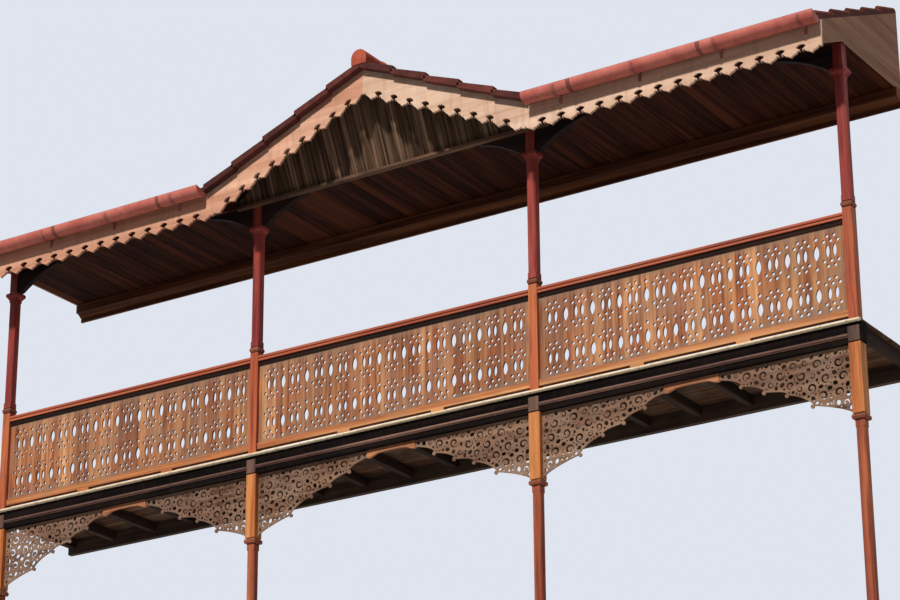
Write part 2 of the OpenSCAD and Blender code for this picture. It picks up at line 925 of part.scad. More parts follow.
// Half-round gutter shell with its rims at the given angles.
module gutter_shell(outer, wall, a0, a1)
    intersection() {
        difference() {
            circle(r = outer);
            circle(r = outer - wall);
        }
        polygon(concat([[0, 0]], [for (k = [0 : 12]) 2 * outer * [cos(a0 + (a1 - a0) * k / 12),
            sin(a0 + (a1 - a0) * k / 12)]]));
    }

gutter_x0 = mitre_high + 10;

module gutters()
    color("#c78a7b")
        both_sides() {
            along_x(gutter_x0, end_x)
                translate([gutter_y, gutter_z])
                    gutter_shell(gutter_r, gutter_t, 166, 340);
            for (x = [gutter_x0, end_x - gutter_t])
                along_x(x, x + gutter_t)
                    translate([gutter_y, gutter_z])
                        gutter_shell(gutter_r, gutter_r - 1, 166, 340);
        }

// Flat iron straps from the eaves board round under the gutter.
module gutter_brackets()
    color("#a8776a")
        both_sides()
            for (k = [0 : 3]) {
                x = gutter_x0 + 350 + k * (end_x - gutter_x0 - 500) / 3;
                along_x(x - strap_w / 2, x + strap_w / 2) {
                    translate([gutter_y, gutter_z])
                        gutter_shell(gutter_r + strap_t, strap_t, 180, 330);
                    translate([fascia_front - strap_t, gutter_z - 130])
                        square([strap_t, 90]);
                    translate([gutter_y + gutter_r * 0.7, gutter_z - gutter_r * 0.8])
                        square([fascia_front - gutter_y - gutter_r * 0.7, strap_t]);
                }
            }

lower_posts();
upper_posts();
wall_ledger();
floor_beam();
beam_pads();
beam_moulding();
floor_joists();
floor_boards();
floor_nosing();
rail_blocks();
bottom_rails();
pierced_panel(0);  // pierced_panel_left
pierced_panel(1);  // pierced_panel_middle
pierced_panel(2);  // pierced_panel_right
top_rails();
handrails();
spandrel(0, 1);  // spandrel_1
spandrel(1, -1);  // spandrel_2
spandrel(1, 1);  // spandrel_3
spandrel(2, -1);  // spandrel_4
spandrel(2, 1);  // spandrel_5
spandrel(3, -1);  // spandrel_6
crown_boards();
top_brackets();
soffit();
wall_cove();
eaves_beam();
eave_soffits();
eave_cheeks();
tympanum();
tympanum_ledge();
roof_ledger();
rafters();
ridge_and_valleys();
end_boards();
bargeboard(-1);  // bargeboard_left
bargeboard(1);  // bargeboard_right
fascia(-1);  // fascia_left
fascia(1);  // fascia_right
lean_roof(-1);  // roof_left
lean_roof(1);  // roof_right
gable_slope(-1);  // gable_roof_left
gable_slope(1);  // gable_roof_right
ridge_tiles();
gutters();
gutter_brackets();
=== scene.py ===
import math
import random

import bmesh
import bpy
from mathutils import Matrix, Vector


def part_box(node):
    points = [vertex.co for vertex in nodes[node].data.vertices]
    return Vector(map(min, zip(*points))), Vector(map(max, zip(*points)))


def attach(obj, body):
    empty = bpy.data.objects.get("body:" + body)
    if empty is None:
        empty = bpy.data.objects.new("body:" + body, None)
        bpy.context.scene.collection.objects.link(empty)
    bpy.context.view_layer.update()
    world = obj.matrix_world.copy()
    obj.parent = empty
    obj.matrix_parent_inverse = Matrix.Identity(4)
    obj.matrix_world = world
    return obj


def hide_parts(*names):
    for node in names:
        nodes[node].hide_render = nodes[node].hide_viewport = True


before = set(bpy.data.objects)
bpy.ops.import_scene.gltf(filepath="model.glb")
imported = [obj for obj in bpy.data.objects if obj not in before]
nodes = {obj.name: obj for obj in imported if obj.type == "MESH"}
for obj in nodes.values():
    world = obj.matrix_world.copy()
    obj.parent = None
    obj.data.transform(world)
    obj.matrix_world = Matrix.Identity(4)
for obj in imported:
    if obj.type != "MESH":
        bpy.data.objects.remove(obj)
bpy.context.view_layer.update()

# Camera. It stands below the gallery and to its right, and looks up at it through a long
# lens. Its place and angles were fitted to the posts, rails and eaves.
camera_place = (14.744, -22.866, -9.173)
camera_turn = math.radians(32.98)
camera_rise = math.radians(21.79)
camera_roll = math.radians(-0.35)

camera = bpy.data.objects.new("camera", bpy.data.cameras.new("camera"))
camera.data.lens = 114.4
camera.data.sensor_width = 36
camera.data.clip_end = 300
camera.matrix_world = (
    Matrix.Translation(camera_place)
    @ Matrix.Rotation(camera_turn, 4, "Z")
    @ Matrix.Rotation(math.pi / 2 + camera_rise, 4, "X")
    @ Matrix.Rotation(camera_roll, 4, "Z")
)
bpy.context.scene.collection.objects.link(camera)
bpy.context.scene.camera = camera


# Studio. A pale floor under the posts, an even pale surround, and one key lamp in front,
# as high as a mid-morning sun. The floor ends where the camera would see it.
def linear(code):
    """The linear colour of an sRGB hex code such as "c58d58"."""
    parts = [int(code[k : k + 2], 16) / 255 for k in (0, 2, 4)]
    return [p / 12.92 if p <= 0.04045 else ((p + 0.055) / 1.055) ** 2.4 for p in parts] + [1]


def add(tree, kind, inputs=None, **settings):
    """Adds a shader node with its settings, and gives each input a value or a link."""
    made = tree.nodes.new("ShaderNode" + kind)
    for name, value in settings.items():
        setattr(made, name, value)
    for name, value in (inputs or {}).items():
        if isinstance(value, bpy.types.NodeSocket):
            tree.links.new(value, made.inputs[name])
        else:
            made.inputs[name].default_value = value
    return made


def lay_over(tree, under, code, level, low, high, share=1.0):
    """Lays a colour over another, more and more up to a share as a level goes from low to high."""
    reach = {"Value": level, "From Min": low, "From Max": high, "To Max": share}
    mask = add(tree, "MapRange", reach).outputs[0]
    mixed = add(tree, "Mix", {"Factor": mask, "A": under, "B": linear(code)}, data_type="RGBA")
    return mixed.outputs["Result"]


def new_material(name):
    """A material with an empty node tree, and that tree."""
    material = bpy.data.materials.new(name)
    material.use_nodes = True
    material.node_tree.nodes.clear()
    return material, material.node_tree


def finish_surface(tree, colour, rough, relief, strength, depth, gloss):
    """Ends a finish with its colour, roughness, fine relief and shine."""
    bump = add(tree, "Bump", {"Height": relief, "Strength": strength, "Distance": depth}).outputs[0]
    look = {"Base Color": colour, "Roughness": rough, "Normal": bump, "Specular IOR Level": gloss}
    shader = add(tree, "BsdfPrincipled", look)
    add(tree, "OutputMaterial", {"Surface": shader.outputs[0]})


# Matt painted studio floor: even, with the faint mottle of a rolled coat, about 330 mm across.
floor_paint, tree = new_material("rolled_floor_paint")
place = add(tree, "TexCoord").outputs["Object"]
mottle = add(tree, "TexNoise", {"Vector": place, "Scale": 3.0, "Detail": 3.0}).outputs["Fac"]
paint = lay_over(tree, linear("dcdbd8"), "e6e5e2", mottle, 0.0, 1.0)
shader = add(tree, "BsdfPrincipled", {"Base Color": paint, "Roughness": 0.9})
add(tree, "OutputMaterial", {"Surface": shader.outputs[0]})

floor_front = -4.4
floor_back = 12.0
floor_half = 16.0
bm = bmesh.new()
bmesh.ops.create_grid(
    bm,
    x_segments=1,
    y_segments=1,
    size=1,
    matrix=Matrix.Translation((0, (floor_front + floor_back) / 2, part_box("lower_posts")[0].z))
    @ Matrix.Diagonal((floor_half, (floor_back - floor_front) / 2, 1, 1)),
)
mesh = bpy.data.meshes.new("floor")
bm.to_mesh(mesh)
bm.free()
mesh.materials.append(floor_paint)
floor = bpy.data.objects.new("floor", mesh)
bpy.context.scene.collection.objects.link(floor)

world = bpy.data.worlds.new("studio")
bpy.context.scene.world = world
world.use_nodes = True
world.node_tree.nodes.clear()
tree = world.node_tree
path = add(tree, "LightPath").outputs
seen = path["Is Camera Ray"]
for ray in ("Is Glossy Ray", "Is Transmission Ray"):
    seen = add(tree, "Math", {0: seen, 1: path[ray]}, operation="MAXIMUM").outputs[0]
lit = add(tree, "Background", {"Color": linear("f4f6fa"), "Strength": 0.2})
shown = add(tree, "Background", {"Color": linear("dfe4ee"), "Strength": 1.0})
both = add(tree, "MixShader", {0: seen, 1: lit.outputs[0], 2: shown.outputs[0]})
add(tree, "OutputWorld", {"Surface": both.outputs[0]})

key = bpy.data.objects.new("key", bpy.data.lights.new("key", "SUN"))
key.data.energy = 3.8
key.data.angle = math.radians(4)
key.data.color = (1.0, 0.96, 0.9)
key_side = math.radians(2)
key_tilt = math.radians(50)
key.matrix_world = Matrix.Rotation(key_side, 4, "Z") @ Matrix.Rotation(key_tilt, 4, "X")
bpy.context.scene.collection.objects.link(key)

bpy.context.scene.view_settings.view_transform = "Standard"


# Posts. Squared teak posts from their feet to the eaves: chamfered shafts, a paler thick head
# below the floor, a torus between two grooves at each change, and a plain square capital.
def toned(tree, colour, own, darkest, palest):
    """Makes a colour darker or paler by a piece's own tone."""
    level = add(tree, "MapRange", {"Value": own, "To Min": darkest, "To Max": palest}).outputs[0]
    return add(tree, "HueSaturation", {"Color": colour, "Value": level}).outputs[0]


def wood(
    name,
    along,
    dark,
    mid,
    light,
    figure_mm=22,
    board=None,
    tone=0.25,
    odd=None,
    ends=None,
    dirt=None,
    weather=None,
    rough=0.7,
    gloss=0.25,
    flat=None,
):
    """Sawn and finished wood with its grain along an axis.

    The figure is drawn some three times as coarse as real grain, so that it shows from afar.
    board is (axis, start, width) where boards lie side by side, or "tone" to read each board's
    own tone attribute. odd is (colour, share) for boards that stand out from the others. ends is
    (low, high, reach, colour, share) for boards that grey at their two ends. dirt and weather
    are (colour, share) for run marks and greyed patches. flat is the axis through a leaning
    board, along which the figure hardly changes. Greyed patches are about 320 mm across, and
    run marks 50 mm wide and 480 mm long.
    """
    material, tree = new_material(name)
    place = add(tree, "TexCoord").outputs["Object"]
    across = 1000 / figure_mm
    lengthwise = across / 28
    scale = [lengthwise if axis in (along, flat) else across for axis in "XYZ"]
    grain_place = add(tree, "VectorMath", {0: place, 1: scale}, operation="MULTIPLY").outputs[0]
    if board == "tone":
        own = add(tree, "Attribute", attribute_name="tone").outputs["Fac"]
    elif board:
        axis, first, width = board
        part = add(tree, "SeparateXYZ", {0: place}).outputs[axis]
        part = add(tree, "Math", {0: part, 1: first}, operation="SUBTRACT").outputs[0]
        part = add(tree, "Math", {0: part, 1: width}, operation="DIVIDE").outputs[0]
        part = add(tree, "Math", {0: part}, operation="FLOOR").outputs[0]
        part = add(tree, "Math", {0: part, 1: 0.37}, operation="ADD").outputs[0]
        own = add(tree, "TexWhiteNoise", {"W": part}, noise_dimensions="1D").outputs["Value"]
    if board:
        shift = add(tree, "Math", {0: own, 1: 91.0}, operation="MULTIPLY").outputs[0]
        grain_place = add(tree, "VectorMath", {0: grain_place, 1: shift}, operation="ADD").outputs[0]
    fine = {"Vector": grain_place, "Scale": 1.0, "Detail": 4.0, "Roughness": 0.62, "Distortion": 0.35}
    grain = add(tree, "TexNoise", fine).outputs["Fac"]
    broad = {"Vector": grain_place, "Scale": 0.27, "Detail": 2.0, "Distortion": 0.6}
    figure = add(tree, "TexNoise", broad).outputs["Fac"]
    colour = lay_over(tree, linear(dark), mid, grain, 0.36, 0.62)
    colour = lay_over(tree, colour, light, figure, 0.45, 0.72)
    if odd:
        other, share = odd
        colour = lay_over(tree, colour, other, own, 0.98 - share, 1 - share)
    if board:
        colour = toned(tree, colour, own, 1 - tone, 1 + tone * 0.8)
    if weather:
        grey, share = weather
        cloudy = {"Vector": place, "Scale": 3.1, "Detail": 5.0, "Roughness": 0.65}
        patch = add(tree, "TexNoise", cloudy).outputs["Fac"]
        colour = lay_over(tree, colour, grey, patch, 0.42, 0.66, share)
    if dirt:
        stain, share = dirt
        run_place = add(tree, "VectorMath", {0: place, 1: (19, 19, 2.1)}, operation="MULTIPLY").outputs[0]
        streaky = {"Vector": run_place, "Scale": 1.0, "Detail": 3.0, "Roughness": 0.7}
        run = add(tree, "TexNoise", streaky).outputs["Fac"]
        colour = lay_over(tree, colour, stain, run, 0.5, 0.72, share)
    if ends:
        low, high, reach, grey, share = ends
        height = add(tree, "SeparateXYZ", {0: place}).outputs["Z"]
        ragged = add(tree, "Math", {0: grain, 1: reach, 2: height}, operation="MULTIPLY_ADD").outputs[0]
        span = {"From Min": low + reach * 0.5, "From Max": low + reach * 1.6}
        foot = add(tree, "MapRange", {"Value": ragged, **span, "To Min": share, "To Max": 0.0}).outputs[0]
        span = {"From Min": high - reach * 0.6, "From Max": high + reach * 0.5}
        head = add(tree, "MapRange", {"Value": ragged, **span, "To Max": share}).outputs[0]
        greyed = add(tree, "Math", {0: foot, 1: head}, operation="MAXIMUM").outputs[0]
        colour = lay_over(tree, colour, grey, greyed, 0.0, 1.0)
    wear = {"Value": grain, "To Min": rough + 0.12, "To Max": rough - 0.12}
    finish_surface(tree, colour, add(tree, "MapRange", wear).outputs[0], grain, 0.7, 0.0025, gloss)
    return material


def dress(material, *names):
    """Gives CAD nodes a finish."""
    for name in names:
        for slot in nodes[name].material_slots:
            slot.material = material


def finish_piece(bm, name, material, slot, *replaced):
    """Turns a bmesh into a piece of the gallery with a finish, which may stand for CAD nodes."""
    mesh = bpy.data.meshes.new(name)
    bm.to_mesh(mesh)
    bm.free()
    mesh.materials.append(material)
    piece = bpy.data.objects.new(name, mesh)
    bpy.context.scene.collection.objects.link(piece)
    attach(piece, "root")
    if replaced:
        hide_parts(*replaced)
    return piece


def ease(bm, edges, offset, segments=1):
    """Planes or rounds edges off."""
    return bmesh.ops.bevel(
        bm,
        geom=list(edges),
        offset=offset,
        offset_type="OFFSET",
        segments=segments,
        profile=0.5,
        affect="EDGES",
        material=-1,
    )


def stacked_square(bm, x, y, steps):
    """A square moulding: steps are (height, half width) pairs from the bottom up."""
    z, half = steps[0]
    corners = ((-1, -1), (1, -1), (1, 1), (-1, 1))
    ring = [bm.verts.new((x + sx * half, y + sy * half, z)) for sx, sy in corners]
    edges = [bm.edges.new((ring[k], ring[(k + 1) % 4])) for k in range(4)]
    bm.faces.new(ring[::-1])
    centre = Matrix.Translation((x, y, 0))
    for next_z, next_half in steps[1:]:
        grown = bmesh.ops.extrude_edge_only(bm, edges=edges)["geom"]
        verts = [item for item in grown if isinstance(item, bmesh.types.BMVert)]
        edges = [
            item
            for item in grown
            if isinstance(item, bmesh.types.BMEdge) and all(v in verts for v in item.verts)
        ]
        share = next_half / half
        bmesh.ops.scale(bm, vec=(share, share, 1), space=centre.inverted(), verts=verts)
        bmesh.ops.translate(bm, vec=(0, 0, next_z - z), verts=verts)
        z, half = next_z, next_half
    bmesh.ops.contextual_create(bm, geom=edges)
    bmesh.ops.recalc_face_normals(bm, faces=bm.faces[:])


def squared(bm, x, half, low, high, planed, upright_only=False):
    """A squared length of post, with all its edges planed off, or only the four upright ones."""
    size = Matrix.Diagonal((2 * half, 2 * half, high - low, 1))
    place = Matrix.Translation((x, post_y, (low + high) / 2)) @ size
    verts = bmesh.ops.create_cube(bm, size=1, matrix=place)["verts"]
    edges = {e for v in verts for e in v.link_edges}
    if upright_only:
        edges = {e for e in edges if abs(e.verts[0].co.z - e.verts[1].co.z) > 0.01}
    ease(bm, edges, planed)


lower_low, lower_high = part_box("lower_posts")
upper_low, upper_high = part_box("upper_posts")
node_half = (lower_high.y - lower_low.y) / 2
post_y = (lower_high.y + lower_low.y) / 2
first_post = lower_low.x + node_half
bay = (lower_high.x - lower_low.x - 2 * node_half) / 3
post_x = [first_post + k * bay for k in range(4)]
foot_z = lower_low.z
head_top = lower_high.z
head_h = 0.659
head_low = head_top - head_h
eaves_z = upper_high.z
head_half = 0.059
shaft_half = 0.044
upper_half = 0.048
capital_half = 0.075
capital_down = 0.292
capital_z = eaves_z - capital_down
chamfer = 0.014
square_end = 0.060
# A chamfered length runs a lap into its square ends, and is a skin thinner than they are.
lap = 0.004
skin = 0.0004
thick_ease = 0.003
slim_ease = 0.002
collar_h = 0.062
upper_collar = 1.087
# Steps of the capital's moulding, from its foot up: height and half width.
capital_steps = [
    (-0.030, upper_half - 0.002),
    (-0.026, upper_half + 0.006),
    (-0.012, upper_half + 0.010),
    (0.0, capital_half - 0.004),
    (0.006, capital_half),
    (0.036, capital_half),
    (0.042, capital_half - 0.004),
]
# Steps of a collar's torus: height, and how far it stands out from the wider length of post.
collar_steps = [
    (0.007, -0.008),
    (0.010, 0.001),
    (0.019, 0.006),
    (0.031, 0.008),
    (0.044, 0.006),
    (0.053, 0.001),
    (0.055, -0.008),
]
groove_in = 0.001
groove_lap = 0.002

# Oiled teak: a warm orange-brown in the sun, darker in the run marks of rain.
oiled_teak = wood("oiled_teak", "Z", "823620", "aa5231", "c67245", dirt=("56261a", 0.55), rough=0.6)
# Shaft teak: the same oil on the lower shafts, darker and redder brown than the teak above.
shaft_teak = wood("darker_teak_shaft", "Z", "6a2c1c", "914329", "b0623d", dirt=("451f16", 0.5), rough=0.65)
# Planed teak: the thick post heads kept their fresh orange-tan under the edge of the floor.
planed_teak = wood("planed_teak", "Z", "8f4b24", "b86a35", "cf8a4e", dirt=("7a4327", 0.45), rough=0.62)
# Stained teak: the upper storey was wiped with a red oxide stain that has faded to brick.
stained_teak = wood("stained_teak", "Z", "6b211d", "93332c", "aa4a3c", dirt=("481a18", 0.5), rough=0.6)
# Collars: the same teak, planed round and browner. Each groove is near black, painted shade in the hollow.
collar_teak = wood("collar_teak", "X", "6a3524", "8a4c35", "a8694d", dirt=("3b1d16", 0.4))
groove_shade = wood("painted_groove_shade", "X", "24120d", "351c14", "4a2a1e", rough=0.85, gloss=0.1)

heads = bmesh.new()
shafts = bmesh.new()
rail_lengths = bmesh.new()
uppers = bmesh.new()
collars = bmesh.new()
grooves = bmesh.new()
for x in post_x:
    squared(heads, x, head_half, head_low, head_top, thick_ease)
    squared(rail_lengths, x, upper_half, upper_low.z, upper_collar, thick_ease)
    for bm, half, low, neck, high in (
        (shafts, shaft_half, foot_z, head_low - collar_h, head_low - collar_h),
        (uppers, upper_half, upper_collar + collar_h, capital_z, eaves_z),
    ):
        squared(bm, x, half, low, low + square_end, slim_ease)
        ends = (low + square_end - lap, neck - square_end + lap)
        squared(bm, x, half - skin, *ends, chamfer, upright_only=True)
        squared(bm, x, half, neck - square_end, high, slim_ease)
    stacked_square(uppers, x, post_y, [(capital_z + up, half) for up, half in capital_steps])
    for base, below, above in (
        (head_low - collar_h, shaft_half, head_half),
        (upper_collar, upper_half, upper_half),
    ):
        slim = min(below, above) - groove_in
        squared(grooves, x, slim, base - groove_lap, base + collar_h + groove_lap, groove_in)
        wide = max(below, above)
        stacked_square(collars, x, post_y, [(base + up, wide + out) for up, out in collar_steps])
finish_piece(heads, "post_heads", planed_teak, "post_wood", "lower_posts")
finish_piece(shafts, "post_shafts", shaft_teak, "post_wood", "lower_posts")
finish_piece(rail_lengths, "posts_at_rail", oiled_teak, "post_wood", "upper_posts")
finish_piece(uppers, "upper_shafts", stained_teak, "post_wood", "upper_posts")
finish_piece(collars, "collar_mouldings", collar_teak, "post_wood")
# The collar grooves are near black as painted shade.
finish_piece(grooves, "collar_grooves", groove_shade, "post_wood")


# Floor. Wide boards nailed across joists between a ledger at the back and the floor beam,
# which is painted nearly black and carries a planted moulding, pads and a cream nosing.
def tone_layer(bm):
    """The layer that holds the tone of each face."""
    return bm.faces.layers.float.get("tone") or bm.faces.layers.float.new("tone")


def give_tone(bm, faces):
    """Gives the faces of one board or tile a tone of its own."""
    layer = tone_layer(bm)
    tone = random.random()
    for face in faces:
        face[layer] = tone


def board(bm, low, high, edge=0.002):
    """A sawn board with eased edges and a tone of its own."""
    tone_layer(bm)
    low, high = Vector(low), Vector(high)
    place = Matrix.Translation((low + high) / 2) @ Matrix.Diagonal((*(high - low), 1))
    verts = bmesh.ops.create_cube(bm, size=1, matrix=place)["verts"]
    cut = ease(bm, {e for v in verts for e in v.link_edges}, edge)
    give_tone(bm, [face for vert in cut["verts"] for face in vert.link_faces])


random.seed(11)
low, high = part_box("floor_boards")
floor_board_w = 0.142
board_gap = 0.0015
board_step = 0.001
count = round((high.y - low.y) / floor_board_w)
width = (high.y - low.y) / count
bm = bmesh.new()
for k in range(count):
    joints = [low.x] + [x + bay / 6 * random.choice((-1, 0, 1)) for x in post_x[1:3]] + [high.x]
    for left, right in zip(joints, joints[1:]):
        board(
            bm,
            (left + board_gap / 4, low.y + k * width + board_gap / 2, low.z + board_step),
            (right - board_gap / 4, low.y + (k + 1) * width - board_gap / 2, high.z - board_step * (k % 2)),
        )
# Floor boards: very dark brown and dull, greyed where rain blows in.
dark_floor_board = wood(
    "dark_floor_board", "X", "2e1b13", "4a2f20", "6b4a35",
    board="tone",
    weather=("6b5a4b", 0.4),
    rough=0.85,
    gloss=0.1,
)
finish_piece(bm, "floor_boarding", dark_floor_board, "floor_wood", "floor_boards")

# Rough sawn timber: joists, ledgers and rafters that nobody sees, dull brown and uneven.
sawn_joist = wood(
    "rough_sawn_joist", "Y", "170d09", "261811", "3c281c",
    board=("X", post_x[0] - bay / 12, bay / 6),
    tone=0.3,
    rough=0.85,
    gloss=0.15,
)
dress(sawn_joist, "floor_joists")
sawn_ledger = wood(
    "rough_sawn_ledger", "X", "20140f", "34231a", "4f3a2b", rough=0.85, weather=("5c4c3c", 0.3)
)
dress(sawn_ledger, "wall_ledger", "roof_ledger", "eaves_beam")

# Black bitumen paint: near black and matt with age, with brown wood at worn places.
black_paint = wood(
    "black_painted_beam", "X", "080607", "110c0b", "1f1613", dirt=("33241e", 0.25), rough=0.85, gloss=0.04
)
dress(black_paint, "floor_beam")
# Bare greyed moulding and pads: brown-grey, dusty on the upper side.
greyed_moulding = wood("greyed_moulding", "X", "4a332c", "6b4b40", "8d6a5a", dirt=("2a1d1a", 0.4))
dress(greyed_moulding, "beam_moulding")
greyed_pad = wood("greyed_pad", "Z", "3a2823", "553c33", "745547", dirt=("221816", 0.5))
dress(greyed_pad, "beam_pads")
# Cream gloss paint on wood: chalky cream with brown wood at the chips.
cream_paint = wood(
    "cream_painted_wood", "X", "dcc4a0", "ecd9ba", "f6ead2", dirt=("7a5638", 0.5), rough=0.55
)
dress(cream_paint, "floor_nosing")


# Balustrade. A screen of pierced teak boards stands between two rails in each bay, on blocks
# that leave drain slots, under a dark rail and a moulded handrail grooved along both faces.
def arc(w, h, steps, bulge):
    """Half of an upright lens, from its lower tip to its upper tip, bulging to bulge = 1 or -1."""
    radius = (h * h / 4 + w * w / 4) / w
    reach = math.asin(h / 2 / radius)
    turns = [-reach + 2 * reach * k / steps for k in range(steps + 1)]
    return [(bulge * (w / 2 - radius + radius * math.cos(t)), radius * math.sin(t)) for t in turns]


def lens(x, z, w, h, steps):
    """A whole upright lens round its middle."""
    loop = arc(w, h, steps, 1)[:-1] + arc(w, h, steps, -1)[:0:-1]
    return [(x + a, z + b) for a, b in loop]


def sawn_sheet(bm, outline, holes, middle, thick, place=None):
    """Saws a sheet to an outline with holes, drawn in X and Z, and sets it at a depth in Y."""
    drawn = bpy.data.curves.new("sawn_sheet", "CURVE")
    drawn.dimensions = "2D"
    drawn.fill_mode = "BOTH"
    drawn.extrude = thick / 2
    for loop in [outline, *holes]:
        line = drawn.splines.new("POLY")
        line.points.add(len(loop) - 1)
        for point, (x, z) in zip(line.points, loop):
            point.co = (x, z, 0, 1)
        line.use_cyclic_u = True
    shape = bpy.data.objects.new("sawn_sheet", drawn)
    mesh = bpy.data.meshes.new_from_object(shape)
    sheet = bmesh.new()
    sheet.from_mesh(mesh)
    bmesh.ops.remove_doubles(sheet, verts=sheet.verts[:], dist=1e-6)
    stand = Matrix.Translation((0, middle, 0)) @ Matrix.Rotation(math.pi / 2, 4, "X")
    bmesh.ops.transform(sheet, matrix=(place or Matrix()) @ stand, verts=sheet.verts[:])
    bmesh.ops.recalc_face_normals(sheet, faces=sheet.faces[:])
    sheet.to_mesh(mesh)
    sheet.free()
    tone_layer(bm)
    before = len(bm.faces)
    bm.from_mesh(mesh)
    bm.faces.ensure_lookup_table()
    give_tone(bm, bm.faces[before:])
    bpy.data.objects.remove(shape)
    bpy.data.curves.remove(drawn)
    bpy.data.meshes.remove(mesh)


panel_low, panel_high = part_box("pierced_panel_middle")
panel_h = panel_high.z - panel_low.z
panel_middle = (panel_high.y + panel_low.y) / 2
boards_in_bay = 11
board_pitch = (panel_high.x - panel_low.x) / boards_in_bay
screen_t = 0.023
screen_gap = 0.0025
lens_w = 0.058
slim_w = 0.042
dot_d = 0.036
# Heights in a board, as shares of its height from the bottom.
lens_mid = (0.236, 0.730)
lens_share = (0.165, 0.180)
seam_dots = (0.055, 0.400, 0.545, 0.892)
slim_less = 0.015
near_row = 0.115
far_row = 0.174
pair_step = 0.12 * board_pitch
mark_slip = 0.003
seat_slip = 0.001


def pierced_board(bm, left, low, first, last):
    """One board: slim lenses and dots inside, and half a row of lenses and dots in each edge."""
    x0 = left + screen_gap / 2
    x1 = left + board_pitch - screen_gap / 2
    lift = random.uniform(-mark_slip, mark_slip)
    cuts = [(m, lens_w, s * panel_h, 8) for m, s in zip(lens_mid, lens_share)]
    cuts += [(m, dot_d, dot_d, 5) for m in seam_dots]
    cuts = sorted((m * panel_h, w, h, steps) for m, w, h, steps in cuts)
    outline = [(x0, low), (x1, low)]
    if not last:
        for z, w, h, steps in cuts:
            outline += [(x1 + a, low + z + b) for a, b in arc(w, h, steps, -1)]
    outline += [(x1, low + panel_h), (x0, low + panel_h)]
    if not first:
        for z, w, h, steps in reversed(cuts):
            outline += [(x0 + a, low + z + b) for a, b in reversed(arc(w, h, steps, 1))]
    middle = left + board_pitch / 2
    holes = []
    for m, s in zip(lens_mid, lens_share):
        z = low + m * panel_h + lift
        for side in (-1, 1):
            holes.append(lens(middle + side * pair_step, z, slim_w, (s - slim_less) * panel_h, 8))
        for up in (-1, 1):
            for row, sides in ((near_row, (-2, 0, 2)), (far_row, (-1, 1))):
                for side in sides:
                    holes.append(lens(middle + side * pair_step, z + up * row * panel_h, dot_d, dot_d, 5))
    sawn_sheet(bm, outline, holes, panel_middle + random.uniform(-seat_slip, seat_slip), screen_t)


# Weathered pierced boards: orange-tan, each of its own tone, with rain marks, and grey-brown
# at the foot and the head where water stands on the rails.
pierced_teak = wood(
    "pierced_teak_board", "Z", "663823", "a9653f", "cf9666",
    board="tone",
    tone=0.22,
    ends=(panel_low.z, panel_high.z, 0.07, "87705f", 0.7),
    weather=("8f6f5b", 0.6),
    dirt=("5e3a28", 0.5),
    rough=0.75,
)
random.seed(5)
for name in ("left", "middle", "right"):
    low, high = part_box(f"pierced_panel_{name}")
    bm = bmesh.new()
    for k in range(boards_in_bay):
        pierced_board(bm, low.x + k * board_pitch, low.z, k == 0, k == boards_in_bay - 1)
    finish_piece(bm, f"pierced_boards_{name}", pierced_teak, "screen_wood", f"pierced_panel_{name}")

# Teak rail below the boards, faded by sun and rain.
faded_rail = wood("faded_rail", "X", "8a4f2c", "bf7443", "d79a66", weather=("9c7358", 0.4), rough=0.72)
dress(faded_rail, "bottom_rails", "rail_blocks")
# Rail under the handrail: near black, painted shade of the handrail over it.
dark_rail = wood("painted_shade_rail", "X", "120a08", "1f110d", "30190f", rough=0.8, gloss=0.12)
dress(dark_rail, "top_rails")


def pull(bm, section, way):
    """Pulls a closed section into a bar, and gives its first face and its far corners."""
    face = bm.faces.new([bm.verts.new(point) for point in section])
    grown = bmesh.ops.extrude_face_region(bm, geom=[face])["geom"]
    verts = [item for item in grown if isinstance(item, bmesh.types.BMVert)]
    bmesh.ops.translate(bm, vec=way, verts=verts)
    return face, verts


# Handrail section: half of it, as steps out from the middle and up from its underside.
handrail_half = [
    (0.040, 0.000),
    (0.042, 0.003),
    (0.042, 0.018),
    (0.039, 0.022),
    (0.033, 0.023),
    (0.033, 0.028),
    (0.041, 0.029),
    (0.046, 0.033),
    (0.047, 0.040),
    (0.046, 0.050),
    (0.041, 0.058),
    (0.031, 0.063),
    (0.015, 0.064),
]
rail_low, rail_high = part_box("handrails")
rail_y = (rail_low.y + rail_high.y) / 2
section = [(rail_y + a, rail_low.z + b) for a, b in handrail_half]
section += [(rail_y - a, rail_low.z + b) for a, b in reversed(handrail_half)]
bm = bmesh.new()
for start, end in zip(post_x, post_x[1:]):
    length = end - upper_half - (start + upper_half)
    pull(bm, [(start + upper_half, y, z) for y, z in section], (length, 0, 0))
bmesh.ops.recalc_face_normals(bm, faces=bm.faces[:])
# Varnished handrail: orange-red, smooth from hands, with a low shine of old varnish.
varnished_rail = wood(
    "varnished_handrail", "X", "7c3220", "a54a2b", "c26a43",
    weather=("94573c", 0.35),
    rough=0.5,
    gloss=0.4,
)
finish_piece(bm, "moulded_handrails", varnished_rail, "handrail_wood", "handrails")


# Fretwork. Spandrels sawn from teak board hang below the floor beam on both sides of each
# post, a web of stems round curls and leaves, and meet plain crown boards in mid-bay. Curls
# are cut where most room is left, one after the other, and leaves fill what lies between.
fret_low, fret_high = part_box("spandrel_1")
fret_len = fret_high.x - fret_low.x
fret_h = fret_high.z - fret_low.z
